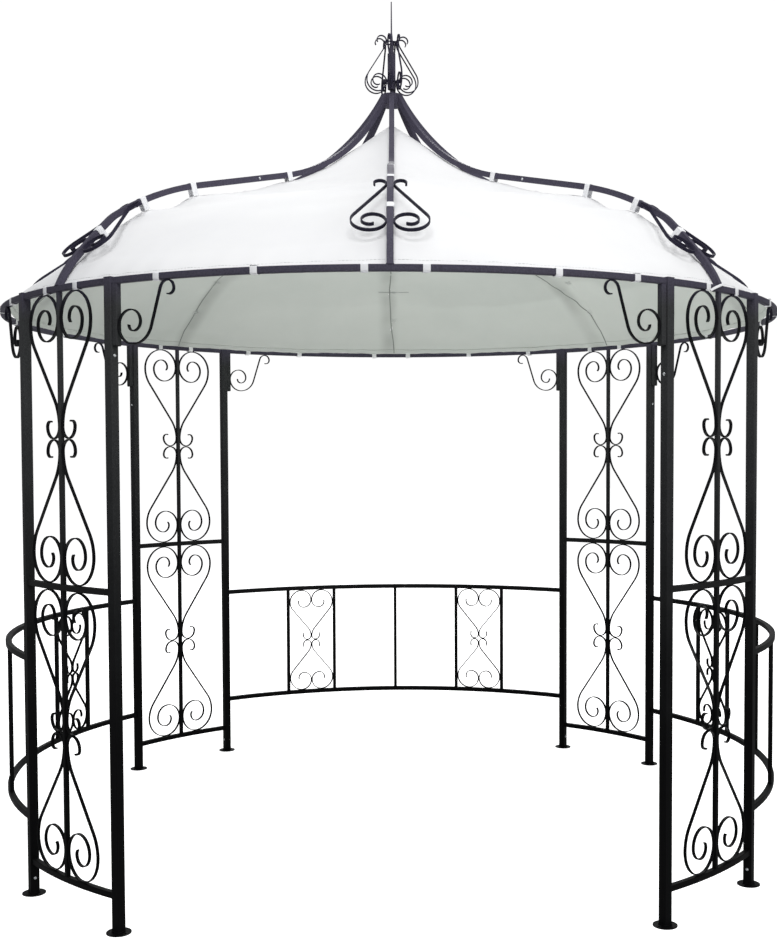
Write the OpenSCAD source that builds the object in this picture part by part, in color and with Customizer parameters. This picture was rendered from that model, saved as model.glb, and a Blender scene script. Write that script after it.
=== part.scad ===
// Round garden gazebo: a frame of square steel tube with flat-bar scroll work, eight ogee roof ribs,
// a crown with a finial, and a fabric canopy strapped under the ribs.
// Millimetres. +Z is up, the entrance faces -Y, and the origin is on the floor at the centre.

/* [Plan and heights] */
// Radius of the circle that the posts, the rails and the ring are centred on
plan_r = 1487.5; // [1200:0.5:1900]
// Half the angle between the two posts of a panel, seen from the centre
post_az = 10.06; // [8:0.01:13]
// Height of the ring's centre line
ring_z = 2009; // [1650:1:2500]
// Height of the panels' mid rail, at its centre line
mid_rail_z = 1058; // [850:1:1350]
// Height of the panels' bottom rail, at its centre line
low_rail_z = 115; // [80:1:200]

/* [Tubes] */
// Width of a square post
post_w = 30; // [24:1:45]
// Width of the ring's square tube
ring_w = 20; // [15:1:30]
// Width of the rails' square tube
rail_w = 20; // [14:1:25]
// Width of the upright bars
bar_w = 15; // [10:0.5:20]
// Width of the roof ribs' square tube
rib_w = 20; // [16:1:30]
// Radius on the long edges of every tube
edge_r = 2; // [0.5:0.5:3]
// Gap that a weld or a bolt closes between two pieces that seat on each other
fit = 0.2; // [0.1:0.05:0.3]

/* [Feet and caps] */
// Diameter of the round foot plates
foot_d = 78; // [60:1:110]
// Thickness of the foot plates
foot_t = 3; // [2:0.5:6]
// Diameter of the two fixing holes in each foot plate
foot_hole_d = 8; // [5:0.5:10]
// Distance between the centres of the two fixing holes
foot_hole_pitch = 58; // [50:1:80]
// Thickness of the caps on the posts
cap_t = 2; // [1:0.5:5]

/* [Scroll bar] */
// Width of the flat bar, across the plane of a scroll
scroll_w = 10; // [6:0.5:12]
// Thickness of the flat bar
scroll_t = 4; // [3:0.5:6]

/* [Panel scrolls] */
// Clear space between a panel's scrolls and its posts
heart_clear = 60; // [40:1:90]
// Radius of the tails that touch at the middle of a panel section
panel_tail_r = 36; // [28:1:42]

/* [Arches over the openings] */
// Length of the drop tubes that hang beside the posts
drop_l = 186; // [150:1:260]
// Width of the corner scrolls
bracket_w = 215; // [160:1:260]
// Height of the corner scrolls
bracket_h = 187; // [170:1:240]
// Width of the corner scrolls' loop
bracket_loop_w = 104; // [90:1:140]
// Radius of the corner scrolls' hook
bracket_hook_r = 24; // [16:1:30]

/* [Balustrades] */
// Height of the top rail, at its centre line
bal_top_z = 800; // [650:1:1000]
// Height of the bottom rail, at its centre line
bal_low_z = 260; // [200:1:330]
// Angle from the middle of a balustrade to the middle of each bay with scrolls
bay_az = 17.1; // [14:0.1:20]
// Width of a bay with scrolls, between the centres of its bars
bay_w = 244; // [200:1:290]
// Radius of the tails that touch at the middle of a bay
bay_tail_r = 20; // [15:1:26]

/* [Roof] */
// Slope of the ribs at the ring, from level
rib_foot_slope = 66; // [58:1:70]
// Radius of the ribs' bend just above the ring
rib_low_r = 380; // [300:10:500]
// Radius of the ribs' slight bend below the shoulder
rib_flank_r = 2200; // [1500:50:3000]
// Radius of the ribs' shoulder bend
rib_shoulder_r = 160; // [120:10:260]
// Radius of the ribs' bend above the shoulder
rib_high_r = 1050; // [900:10:1250]
// Radius of the sweep up to the crown
rib_sweep_r = 820; // [700:10:950]
// Width of the eight-sided crown across its flats
crown_w = 84; // [64:1:120]
// Clear height of the crown above and below the rib ends
crown_lip = 1; // [0:0.5:6]

/* [Rib hearts] */
// Width of a heart
rib_heart_w = 236; // [190:1:290]
// Length of a heart, along the rib
rib_heart_l = 290; // [240:1:330]
// Radius of the hooks of the hearts on the ribs and the finial
hook_r = 20; // [15:1:24]
// Distance of a heart's neck from the axis, as a share of the plan radius
rib_heart_neck_at = 0.824; // [0.78:0.001:0.86]
// The same for the place where a heart's loops lie against the rib
rib_heart_loop_at = 0.929; // [0.9:0.001:0.95]

/* [Finial] */
// Width of the square stem
stem_w = 24; // [18:1:32]
// Height from the crown to the top of the stem
stem_h = 165; // [130:1:220]
// Diameter of the round foot under the stem
stem_foot_d = 14; // [10:1:18]
// Height of the round foot under the stem
stem_foot_h = 22; // [15:1:35]
// Height of the spike on the stem
spike_h = 205; // [150:1:260]
// Diameter of the spike's rod
spike_d = 6; // [4:0.5:8]
// Diameter of the spike's blunt tip
spike_tip_d = 4.4; // [2:0.2:6]
// Width of a finial heart
finial_heart_w = 212; // [180:1:250]
// Height of a finial heart
finial_heart_h = 222; // [170:1:260]
// Width of the finial hearts' flat bar
finial_bar_w = 6; // [4:0.5:8]
// Space between the crown and the finial hearts
finial_lift = 8; // [2:0.5:15]
// Turn of the finial on the crown
finial_turn = 12; // [0:1:30]

/* [Canopy] */
// Thickness of the canopy's solid
sheet_t = 3; // [2:0.5:5]
// Space between the underside of a rib and the canopy
sheet_drop = 24; // [12:1:36]
// Distance from the axis at which the canopy leaves the ribs for its peak
peak_start_r = 250; // [180:1:320]
// Height of the peak above the point where the canopy leaves the ribs
peak_rise = 170; // [120:1:210]
// Width of the straps
strap_w = 22; // [15:1:30]
// Thickness of the straps
strap_t = 1.5; // [1:0.1:2.5]
// Distance along the ring from a post to the strap between it and its corner scroll's hook
strap_from_post = 190.56; // [150:0.01:230]

/* [Hidden] */

steel = [0.09, 0.09, 0.11];
fabric = [0.94, 0.94, 0.93];

// Azimuths count from the front (-Y) towards the right (+X)
FRONT = 0;
RIGHT = 90;
BACK = 180;
LEFT = 270;
rib_count = 8;
rib_step = 360 / rib_count;
panel_az = 45;
opening_az = panel_az - post_az;

ring_top_z = ring_z + ring_w / 2;
ring_low_z = ring_z - ring_w / 2;
strap_room = strap_t + 2 * fit;

// ---- Bent bars -------------------------------------------------------------------------------
// A bent bar has one straight run and, from either end of it, a list of arcs, each [radius, turn],
// that turn left if positive. Lengths and radii are whole microns.

function whole(v) = round(v * 1000) / 1000;

// The place [x, y, heading] that a bar reaches, a share f of the way along an arc from place s
function moved(s, b, f = 1) =
    let (turn = f * b[1], h = s[2] + turn / 2, chord = 2 * b[0] * sin(abs(turn) / 2))
    [s[0] + chord * cos(h), s[1] + chord * sin(h), s[2] + turn];

// The places at the start of a list of arcs and at the end of each of them
function places(s, arcs, i = 0) =
    i == len(arcs) ? [s] : concat([s], places(moved(s, arcs[i]), arcs, i + 1));

function end_of(path) = path[len(path) - 1];
function beside(s, d) = [s[0] - d * sin(s[2]), s[1] + d * cos(s[2])];

// Slope of a straight run between two opposite bends that carries a bar sideways by w over a
// length d, where r is the sum of the two radii, and the length of that run
function slope(w, d, r) = atan2(w - r, d) + asin(r / norm([w - r, d]));
function run_length(w, a, r) = whole((w - r * (1 - cos(a))) / sin(a));

// Radius of a loop's first quarter, where w is the width of its first half turn and each quarter
// turn is closer by the share c of that width
function first_r(w, c) = whole(w * (1 + c) / 2);

// A loop that winds in to the left, quarter by quarter
function loop(w, c, turn) =
    [for (i = [0 : ceil(turn / 90) - 1])
        [whole(first_r(w, c) - i * c * w), min(90, turn - 90 * i)]];

// Moves by millimetres, then by microns, then by what is left, so that arcs meet with no step
module exactly(p) {
    mm = [round(p[0]), round(p[1])];
    um = [whole(p[0]), whole(p[1])] - mm;
    translate(mm) translate(um) translate([p[0], p[1]] - mm - um) children();
}

// An arc of a bar of thickness t from place s, cut square to the bar at both ends
module arc(s, b, t) {
    side = sign(b[1]);
    e = moved(s, b);
    outer = beside(s, -side * t);
    corner_l = (b[0] + t) * tan(abs(b[1]) / 2);
    intersection() {
        exactly(beside(s, side * b[0])) difference() {
            circle(r = b[0] + t / 2, $fn = 72 + b[0] / 4);
            circle(r = b[0] - t / 2, $fn = 72 + b[0] / 4);
        }
        polygon([beside(s, side * t), outer, outer + corner_l * [cos(s[2]), sin(s[2])],
                 beside(e, -side * t), beside(e, side * t)]);
    }
}

module arcs(s, list, t) {
    at_start = places(s, list);
    for (i = [0 : len(list) - 1]) arc(at_start[i], list[i], t);
}

// The flat shape of a bar of thickness t, whose straight run goes from the origin along +X
module bent_bar(before, run, after, t) {
    translate([0, -t / 2]) square([run, t]);
    arcs([run, 0, 0], after, t);
    arcs([0, 0, 180], before, t);
}

// A scroll with its neck at the origin. A tail leaves the neck downwards, and the bar runs up and
// out to the right for reach, then winds into a loop whose far side is rise above the neck.
module scroll(tail, reach, rise, loop_w, neck_r, shoulder_r, closer, turn) {
    a = slope(reach, rise - first_r(loop_w, closer), neck_r + shoulder_r);
    neck = moved([0, 0, 180], [neck_r, a]);
    rotate(90 - a) translate([-neck[0], -neck[1]])
        bent_bar(concat([[neck_r, a]], tail), run_length(reach, a, neck_r + shoulder_r),
                 concat([[shoulder_r, a]], loop(loop_w, closer, turn)), scroll_t);
}

// ---- Shared shapes ---------------------------------------------------------------------------

// A square of width w with rounded corners
function tube_outline(w) =
    [for (corner = [0:3], turn = [0:30:90])
        let (c = w / 2 - edge_r, a = corner * 90 + turn, q = corner * 90 + 45)
        [c * sqrt(2) * cos(q) + edge_r * cos(a), c * sqrt(2) * sin(q) + edge_r * sin(a)]];

// Turns what is drawn at the +X side to an azimuth
module at(az) rotate([0, 0, az - 90]) children();

module both_sides() {
    children();
    mirror([0, 1, 0]) children();
}

// Stands an outline of x sideways and y upwards across the +X side, w deep
module upright(w) rotate([90, 0, 90]) linear_extrude(height = w, center = true) children();

module upright_tube(w, z0, z1)
    translate([0, 0, z0]) linear_extrude(height = z1 - z0) polygon(tube_outline(w));

// A tube bent to the plan circle, from one angle to its opposite
module bent_tube(w, z, half_angle)
    rotate([0, 0, -half_angle])
        rotate_extrude(angle = 2 * half_angle, $fn = 180)
            translate([plan_r, z]) polygon(tube_outline(w));

// Angle from a post's middle to the end of a tube of width w that butts on it
function butt_az(w) = asin((post_w / 2 + fit) / (plan_r - w / 2));

// ---- Posts -----------------------------------------------------------------------------------

module post(az) color(steel) at(az) translate([plan_r, 0, 0]) {
    difference() {
        union() {
            cylinder(h = foot_t, d = foot_d, $fn = 72);
            upright_tube(post_w, foot_t, ring_top_z);
        }
        for (side = [-1, 1])
            translate([0, side * foot_hole_pitch / 2, -1])
                cylinder(h = foot_t + 2, d = foot_hole_d, $fn = 36);
    }
    upright_tube(post_w + 1, ring_top_z, ring_top_z + cap_t);
}

// ---- Panels ----------------------------------------------------------------------------------

module panel(az) color(steel) at(az) {
    for (z = [low_rail_z, mid_rail_z]) bent_tube(rail_w, z, post_az - butt_az(rail_w));
    bent_tube(ring_w, ring_z, post_az - butt_az(ring_w));
    translate([plan_r, 0, 0]) upright_tube(bar_w, low_rail_z, ring_z);
}

bar_side_x = bar_w / 2 + fit + scroll_t / 2;
half_gap = (fit + scroll_t) / 2;
heart_x = plan_r * sin(post_az) - post_w / 2 - heart_clear - scroll_t / 2;
panel_tail = [[panel_tail_r, 90], [panel_tail_r + 2, 90], [panel_tail_r / 2, 90], [8, 50]];

// The scrolls of one section, whose clear space runs from z0 to z1: four half hearts that lean on
// the centre bar and touch the rails with their loops and each other with their tails
module section_scrolls(z0, z1) {
    neck_z = half_gap + panel_tail_r;
    translate([plan_r, 0, (z0 + z1) / 2])
        both_sides()
            for (up = [0, 1]) mirror([0, 0, up])
                translate([0, bar_side_x, neck_z])
                    upright(scroll_w)
                        scroll(panel_tail, heart_x - bar_side_x,
                               (z1 - z0 - scroll_t) / 2 - neck_z, heart_x - bar_side_x,
                               150, 125, 0.07, 590);
}

module panel_scrolls(az) color(steel) at(az) {
    section_scrolls(low_rail_z + rail_w / 2 + fit, mid_rail_z - rail_w / 2 - fit);
    section_scrolls(mid_rail_z + rail_w / 2 + fit, ring_low_z - strap_room);
}

// ---- Arches ----------------------------------------------------------------------------------

// Sideways place of a drop tube's middle and of its open face, from the middle of its post
drop_y = post_w / 2 + fit + ring_w / 2;
drop_face_y = drop_y + ring_w / 2;

module arch(az) color(steel) at(az) {
    bent_tube(ring_w, ring_z, opening_az - butt_az(ring_w));
    both_sides()
        rotate([0, 0, -opening_az])
            translate([plan_r, drop_y, 0])
                upright_tube(ring_w, ring_low_z - drop_l, ring_low_z - fit);
}

// A corner scroll stands in a plane square to the radius through its middle
bracket_az = asin((drop_face_y + bracket_w / 2) / plan_r);
bracket_x0 = drop_face_y * cos(bracket_az) - plan_r * sin(bracket_az)
    + scroll_w / 2 * tan(bracket_az) + fit + scroll_t / 2;
bracket_x1 = bracket_w / 2 - bracket_hook_r;

// A hook under the beam, and a run down to a loop that rests on the drop tube
module corner_scrolls(az) color(steel) at(az)
    both_sides()
        rotate([0, 0, bracket_az - opening_az])
            translate([plan_r, bracket_x1, ring_low_z - fit - scroll_t / 2])
                upright(scroll_w) rotate(90) mirror([1, 0])
                    scroll([[bracket_hook_r, 90], [0.75 * bracket_hook_r, 110]],
                           bracket_h - scroll_t, bracket_x1 - bracket_x0, bracket_loop_w,
                           28, 72, 0.095, 465);

// ---- Balustrades -----------------------------------------------------------------------------

// Half the angle that a bay with scrolls takes
bay_half_az = asin(bay_w / 2 / plan_r);

module balustrade(az) color(steel) at(az) {
    for (z = [bal_low_z, bal_top_z]) bent_tube(rail_w, z, opening_az - butt_az(rail_w));
    for (bar = [0, bay_az - bay_half_az, bay_az + bay_half_az, bay_half_az - bay_az,
                -bay_az - bay_half_az])
        rotate([0, 0, bar]) translate([plan_r, 0, 0])
            upright_tube(bar_w, bal_low_z, bal_top_z);
}

bay_side_x = bay_w / 2 - bar_w / 2 * (cos(bay_half_az) + sin(bay_half_az)) - fit - scroll_t / 2;

// Four half hearts that touch at their necks and tails, the bars with their bellies and the rails
// with their loops
module bay_scrolls() {
    neck_z = half_gap + bay_tail_r;
    translate([plan_r * cos(bay_half_az), 0, (bal_low_z + bal_top_z) / 2])
        both_sides()
            for (up = [0, 1]) mirror([0, 0, up])
                translate([0, half_gap, neck_z])
                    upright(scroll_w)
                        scroll([[bay_tail_r, 90], [bay_tail_r, 90], [60, 15]], bay_side_x - half_gap,
                               (bal_top_z - bal_low_z - rail_w - scroll_t) / 2 - fit - neck_z,
                               bay_side_x - half_gap, 60, 62, 0.1, 390);
}

module balustrade_scrolls(az) color(steel)
    for (side = [-1, 1]) at(az + side * bay_az) bay_scrolls();

// ---- Roof ribs -------------------------------------------------------------------------------

rib_end_x = crown_w / 2 + fit;
// Bends from the ring up to the straight run, and the sweep above it
rib_foot = [plan_r, ring_top_z, 180 - rib_foot_slope];
rib_low_bends = [[rib_low_r, 16], [rib_flank_r, 5], [rib_shoulder_r, 11], [rib_high_r, 20]];
rib_sweep = [rib_sweep_r, -46];

// The run is as long as brings the sweep's end to the crown
rib_bend_places = places(rib_foot, rib_low_bends);
rib_bend_end = end_of(rib_bend_places);
rib_run = whole((rib_end_x - moved(rib_bend_end, rib_sweep)[0]) / cos(rib_bend_end[2]));
rib_run_end = [for (i = [0, 1, 2]) rib_bend_end[i]
               + [rib_run * cos(rib_bend_end[2]), rib_run * sin(rib_bend_end[2]), 0][i]];
rib_end = moved(rib_run_end, rib_sweep);
overrun = 3;

// The bends run a little further at both ends, and are cut level at the ring and upright at the
// crown
module rib(az) color(steel) at(az)
    rotate([90, 0, 0]) linear_extrude(height = rib_w, center = true)
        intersection() {
            translate([rib_bend_end[0], rib_bend_end[1]]) rotate(rib_bend_end[2])
                bent_bar([for (i = [len(rib_low_bends) - 1 : -1 : 0])
                              [rib_low_bends[i][0], -rib_low_bends[i][1] - (i == 0 ? overrun : 0)]],
                         rib_run, [rib_sweep - [0, overrun]], rib_w);
            translate([rib_end_x, ring_top_z]) square(plan_r);
        }

// Places along a rib's middle line, close enough to read a height between them
rib_points = concat(
    [for (i = [0 : len(rib_low_bends) - 1], f = [0 : 0.05 : 0.99])
        moved(rib_bend_places[i], rib_low_bends[i], f)],
    [rib_bend_end],
    [for (f = [0 : 0.02 : 1]) moved(rib_run_end, rib_sweep, f)]);

// The place on the ribs' middle line at distance x from the axis
function on_rib(x) =
    let (i = [for (k = [1 : len(rib_points) - 1]) if (rib_points[k][0] <= x) k][0],
         p = rib_points[i - 1], q = rib_points[i], f = (x - p[0]) / (q[0] - p[0]))
    p + f * (q - p);

// Moves what stands upright at the origin to a point of the rib, leaning as the rib does
module on_rib_at(s) translate([s[0], 0, s[1]]) rotate([0, 90 - s[2], 0]) children();

// ---- Hearts on the ribs and the finial -------------------------------------------------------

// A half heart of width w and length l with its loop down, from a hook to the loop's far side. Its
// middle is at the origin, and its neck and its loop touch the line y = side.
module half_heart(side, w, l, bar_w) {
    loop_w = w / 2 - scroll_t / 2 - side;
    translate([0, side, (l - scroll_t) / 2 - hook_r])
        upright(bar_w) mirror([0, 1])
            scroll([[hook_r, 90], [hook_r - 2, 90], [hook_r / 2, 50]], loop_w,
                   l - scroll_t - hook_r, loop_w, 45, 60, 0.075, 495);
}

// A rib's heart lies along the straight line between two places on the rib's middle line, where
// its necks and its loops are welded to the rib's sides
function heart_seat(neck, loop) =
    let (turn = atan2(neck[1] - loop[1], neck[0] - loop[0]),
         middle = (rib_heart_l - scroll_t) / 2 - hook_r)
    [neck[0] - middle * cos(turn), neck[1] - middle * sin(turn), turn];

module rib_hearts() color(steel)
    for (i = [0 : rib_count - 1]) at(i * rib_step)
        on_rib_at(heart_seat(on_rib(rib_heart_neck_at * plan_r),
                             on_rib(rib_heart_loop_at * plan_r)))
            both_sides() half_heart(rib_w / 2 + fit + scroll_t / 2, rib_heart_w, rib_heart_l,
                                    scroll_w);

// ---- Crown and finial ------------------------------------------------------------------------

crown_half_h = rib_w / 2 / abs(cos(rib_end[2])) + crown_lip;
crown_top_z = rib_end[1] + crown_half_h;
stem_top_z = crown_top_z + stem_h;

module crown() color(steel)
    translate([0, 0, rib_end[1] - crown_half_h])
        rotate([0, 0, rib_step / 2])
            cylinder(h = 2 * crown_half_h, r = crown_w / 2 / cos(rib_step / 2), $fn = rib_count);

// The stem stands on a round foot, with its corners near the front, the back and the sides
stem_corner = stem_w / sqrt(2) - edge_r * (sqrt(2) - 1);

module finial_stem() color(steel) {
    translate([0, 0, crown_top_z]) cylinder(h = stem_foot_h + 1, d = stem_foot_d, $fn = 36);
    rotate([0, 0, 45 + finial_turn])
        upright_tube(stem_w, crown_top_z + stem_foot_h, stem_top_z);
    rotate_extrude($fn = 48)
        polygon([[0, stem_top_z], [0.375 * stem_w, stem_top_z],
                 [0.5 * spike_d + 2, stem_top_z + 0.33 * spike_h],
                 [0.5 * spike_d, stem_top_z + 0.42 * spike_h],
                 [0.5 * spike_tip_d, stem_top_z + spike_h], [0, stem_top_z + spike_h]]);
}

// A heart stands outside each corner of the stem. Cross bars join its halves at their necks and
// where their loops come nearest, and rest on the corner. The bars of two opposite hearts lie over
// those of the other two.
heart_plane = stem_corner + fit + finial_bar_w / 2;
finial_side = heart_plane + finial_bar_w / 2 + fit + scroll_t / 2;
finial_half_l = (finial_heart_h - scroll_t) / 2;
finial_loop_z = first_r(finial_heart_w / 2 - scroll_t / 2 - finial_side, 0.075) - finial_half_l;

module finial_hearts() color(steel)
    for (i = [0:3]) at(90 * i + finial_turn)
        translate([heart_plane, 0, crown_top_z + finial_lift + finial_heart_h / 2]) {
            both_sides()
                half_heart(finial_side, finial_heart_w, finial_heart_h, finial_bar_w);
            for (z = [finial_loop_z, finial_half_l - hook_r])
                translate([0, 0, z + (i % 2) * (scroll_t + fit)])
                    cube([finial_bar_w, 2 * finial_side, scroll_t], center = true);
        }

// ---- Canopy ----------------------------------------------------------------------------------

gore_cols = 4;
canopy_cols = rib_count * gore_cols;
edge_x = plan_r - ring_w / 2 - strap_room;
edge_z = ring_top_z - 4;

// Under a rib the canopy follows it, depth below the rib's middle line, from the ring to the peak.
// Its rows are closer together near the ring, where the ribs bend most.
canopy_rows = 15;
function row_x(i) = edge_x - (edge_x - peak_start_r) * pow(i / (canopy_rows - 1), 1.2);
function canopy_profile(depth, edge_in) = concat(
    [[edge_x - edge_in, edge_z]],
    [for (i = [1 : canopy_rows - 1]) beside(on_rib(row_x(i)), depth)]);

sheet_top = canopy_profile(rib_w / 2 + sheet_drop, 0);
sheet_under = canopy_profile(rib_w / 2 + sheet_drop + sheet_t, sheet_t);
peak_z = sheet_top[canopy_rows - 1][1] + peak_rise;

// The canopy is round at the ring and eight-sided above it, where the fabric spans rib to rib
function flatness(row) = min(1, row / 4);
function canopy_point(p, row, col) =
    let (a = col * 360 / canopy_cols, in_gore = (a % rib_step) - rib_step / 2,
         r = p[0] * (1 - flatness(row) * (1 - cos(rib_step / 2) / cos(in_gore))))
    [r * cos(a), r * sin(a), p[1]];

canopy_shell = [for (side = [sheet_top, sheet_under], i = [0 : canopy_rows - 1],
                     j = [0 : canopy_cols - 1]) canopy_point(side[i], i, j)];
shell_n = canopy_rows * canopy_cols;
last_row = canopy_rows - 1;

// Corner number of row i and column j on the upper face, and on the under face shell_n later
function corner(i, j) = i * canopy_cols + j % canopy_cols;
function triangles(a, b, c, d) = [[a, b, c], [a, c, d]];
function flat_once(lists) = [for (list = lists) for (item = list) item];

canopy_faces = concat(
    flat_once([for (i = [0 : last_row - 1], j = [0 : canopy_cols - 1])
        triangles(corner(i, j), corner(i, j + 1), corner(i + 1, j + 1), corner(i + 1, j))]),
    flat_once([for (i = [0 : last_row - 1], j = [0 : canopy_cols - 1])
        triangles(shell_n + corner(i, j), shell_n + corner(i + 1, j),
                  shell_n + corner(i + 1, j + 1), shell_n + corner(i, j + 1))]),
    flat_once([for (j = [0 : canopy_cols - 1])
        triangles(corner(0, j), shell_n + corner(0, j), shell_n + corner(0, j + 1),
                  corner(0, j + 1))]),
    [for (j = [0 : canopy_cols - 1])
        [corner(last_row, j), corner(last_row, j + 1), 2 * shell_n]],
    [for (j = [0 : canopy_cols - 1])
        [shell_n + corner(last_row, j + 1), shell_n + corner(last_row, j), 2 * shell_n + 1]]);

module canopy() color(fabric)
    polyhedron(points = concat(canopy_shell, [[0, 0, peak_z], [0, 0, peak_z - sheet_t]]),
               faces = [for (f = canopy_faces) [f[0], f[2], f[1]]]);

// ---- Straps ----------------------------------------------------------------------------------

// Where the straps hold the canopy: shares of the plan radius along a rib, and angles along each
// quarter of the ring
rib_strap_at = [0.8975, 0.788, 0.653, 0.363];
ring_strap_az = [4, 19.2, 29.8, 42.2, 49,
    panel_az + post_az + strap_from_post / plan_r * 180 / PI, 74.8, 87.2];

// A loop round a tube of width w, with slack on its -X side
module strap_loop(w, slack)
    linear_extrude(height = strap_w, center = true) translate([-slack / 2, 0])
        difference() {
            square([w + 2 * fit + slack + 2 * strap_t, w + 2 * fit + 2 * strap_t], center = true);
            square([w + 2 * fit + slack, w + 2 * fit], center = true);
        }

module canopy_straps() color(fabric) {
    for (i = [0 : rib_count - 1]) at(i * rib_step)
        for (share = rib_strap_at)
            on_rib_at(on_rib(share * plan_r))
                strap_loop(rib_w, sheet_drop - strap_t - 3 * fit);
    for (quarter = [FRONT, RIGHT, BACK, LEFT], az = ring_strap_az) at(quarter + az)
        translate([plan_r, 0, ring_z]) rotate([90, 0, 0]) strap_loop(ring_w, 0);
}

// ---- Assembly --------------------------------------------------------------------------------

post(FRONT - opening_az);  // post_front_left
post(FRONT + opening_az);  // post_front_right
post(RIGHT - opening_az);  // post_right_front
post(RIGHT + opening_az);  // post_right_back
post(BACK - opening_az);  // post_back_right
post(BACK + opening_az);  // post_back_left
post(LEFT - opening_az);  // post_left_back
post(LEFT + opening_az);  // post_left_front
panel(FRONT - panel_az);  // panel_front_left
panel(FRONT + panel_az);  // panel_front_right
panel(BACK - panel_az);  // panel_back_right
panel(BACK + panel_az);  // panel_back_left
panel_scrolls(FRONT - panel_az);  // panel_scrolls_front_left
panel_scrolls(FRONT + panel_az);  // panel_scrolls_front_right
panel_scrolls(BACK - panel_az);  // panel_scrolls_back_right
panel_scrolls(BACK + panel_az);  // panel_scrolls_back_left
arch(FRONT);  // arch_front
arch(RIGHT);  // arch_right
arch(BACK);  // arch_back
arch(LEFT);  // arch_left
corner_scrolls(FRONT);  // corner_scrolls_front
corner_scrolls(RIGHT);  // corner_scrolls_right
corner_scrolls(BACK);  // corner_scrolls_back
corner_scrolls(LEFT);  // corner_scrolls_left
balustrade(RIGHT);  // balustrade_right
balustrade(BACK);  // balustrade_back
balustrade(LEFT);  // balustrade_left
balustrade_scrolls(RIGHT);  // balustrade_scrolls_right
balustrade_scrolls(BACK);  // balustrade_scrolls_back
balustrade_scrolls(LEFT);  // balustrade_scrolls_left
rib(FRONT);  // rib_front
rib(FRONT + panel_az);  // rib_front_right
rib(RIGHT);  // rib_right
rib(BACK - panel_az);  // rib_back_right
rib(BACK);  // rib_back
rib(BACK + panel_az);  // rib_back_left
rib(LEFT);  // rib_left
rib(FRONT - panel_az);  // rib_front_left
rib_hearts();
crown();
finial_stem();
finial_hearts();
canopy();
canopy_straps();
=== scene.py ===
"""Round garden gazebo: the finishes, canopy, straps and hardware round its packed steel frame.

Lengths are metres. The entrance faces -Y, the floor is z = 0, and azimuths are degrees from the
front towards +X. Ribs stand at every 45 degrees, and the posts in pairs either side of 45, 135,
225 and 315.
"""

import bisect
import math
import random

import bpy
from mathutils import Matrix, Vector, noise
from mathutils.bvhtree import BVHTree


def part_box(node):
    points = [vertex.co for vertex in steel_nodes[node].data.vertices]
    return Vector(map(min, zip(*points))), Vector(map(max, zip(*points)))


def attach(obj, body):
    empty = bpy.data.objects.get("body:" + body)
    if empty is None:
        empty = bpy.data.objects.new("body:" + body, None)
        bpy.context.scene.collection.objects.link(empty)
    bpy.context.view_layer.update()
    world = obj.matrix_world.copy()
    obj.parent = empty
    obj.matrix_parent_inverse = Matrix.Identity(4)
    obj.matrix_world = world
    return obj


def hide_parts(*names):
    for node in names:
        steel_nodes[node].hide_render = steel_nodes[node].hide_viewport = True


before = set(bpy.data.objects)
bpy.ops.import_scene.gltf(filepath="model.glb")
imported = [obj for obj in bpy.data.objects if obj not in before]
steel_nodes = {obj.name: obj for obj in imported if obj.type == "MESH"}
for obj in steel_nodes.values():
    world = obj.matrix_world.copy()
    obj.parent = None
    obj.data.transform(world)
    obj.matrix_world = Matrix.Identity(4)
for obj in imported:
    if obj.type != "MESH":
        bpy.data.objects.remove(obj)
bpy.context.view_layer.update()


# ---- Sizes of the frame ------------------------------------------------------------------------

QUARTERS = (0, 90, 180, 270)
RIB_AZIMUTHS = range(0, 360, 45)
PLAN = 1.4875  # distance of the posts, rails and ring from the axis
POST_OFF_PANEL = 10.06  # degrees from the middle of a panel to each of its posts
# Each post's azimuth and the way round to the opening beside it. The first two flank the entrance.
POSTS = [(quarter + side * (45 - POST_OFF_PANEL), -side) for quarter in QUARTERS
         for side in (-1, 1)]
POST = 0.030  # the posts' square tube
TUBE = 0.020  # the ring's, the ribs' and the drop tubes' square tube
RAIL = 0.020  # the rails' square tube
UPRIGHT = 0.015  # the panels' upright bars
BAR = 0.010  # width of the scrolls' flat bar
FIT = 0.0002  # gap that a bolt closes between a drop tube and its post
RING_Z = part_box("panel_front_left")[1].z - TUBE / 2  # height of the ring's middle line
PANEL_RAILS = (0.115, 1.058)  # heights of the rails' middle lines
BALUSTRADE_RAILS = (0.260, 0.800)
# Where scrolls touch what they are welded to. A panel's scrolls stand in two sections of it, each
# from one rail to the next, and the places are measured from the middle of a section or a bay.
PANEL_SECTIONS = ((0.1252, 1.0478), (1.0682, 1.9971))
PANEL_NECK = 0.0381
PANEL_LOOP = (0.0902, 0.0805)
BAYS = (-17.1, 17.1)  # azimuths of a balustrade's scrolled bays, from its middle
HALF_BAY = 4.7  # degrees
BAY_MIDDLE = 0.530
BAY_NECK, BAY_TOUCH, BAY_BELLY, BAY_RIM = 0.0221, 0.2077, 0.1975, 0.2598
BAY_LOOP, BAY_SIDE = 0.051, 0.1135
HEART_WELDS = (1.226, 1.381)  # distances from the axis
FOOT_SCREW = 0.055  # height of the screw above a panel's foot
RING_SCREW = 1.725  # height of the screw under the ring
HIGH_RING_SCREW = 1.783  # the same on the front left post
RIB_SCREW = 0.68  # distance of a rib's screw from the axis

# ---- Sizes of the canopy -----------------------------------------------------------------------

HALF_CLOTH = 0.0006
COLUMNS = 320  # columns of the canopy's mesh
HALF_GORE = 22.5  # degrees from a rib to the middle of the gore beside it
CANOPY_EDGE = (1.4756, 2.013)  # distance from the axis and height of the canopy's edge
CANOPY_PEAK = 2.806
RIB_TIES = (1.335, 1.172, 0.971, 0.540)  # distances of the straps along each rib
RING_TIES = (4, 19.2, 29.8, 42.2, 49, 62.4, 74.8, 87.2)  # azimuths of a quarter's ring straps
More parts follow.
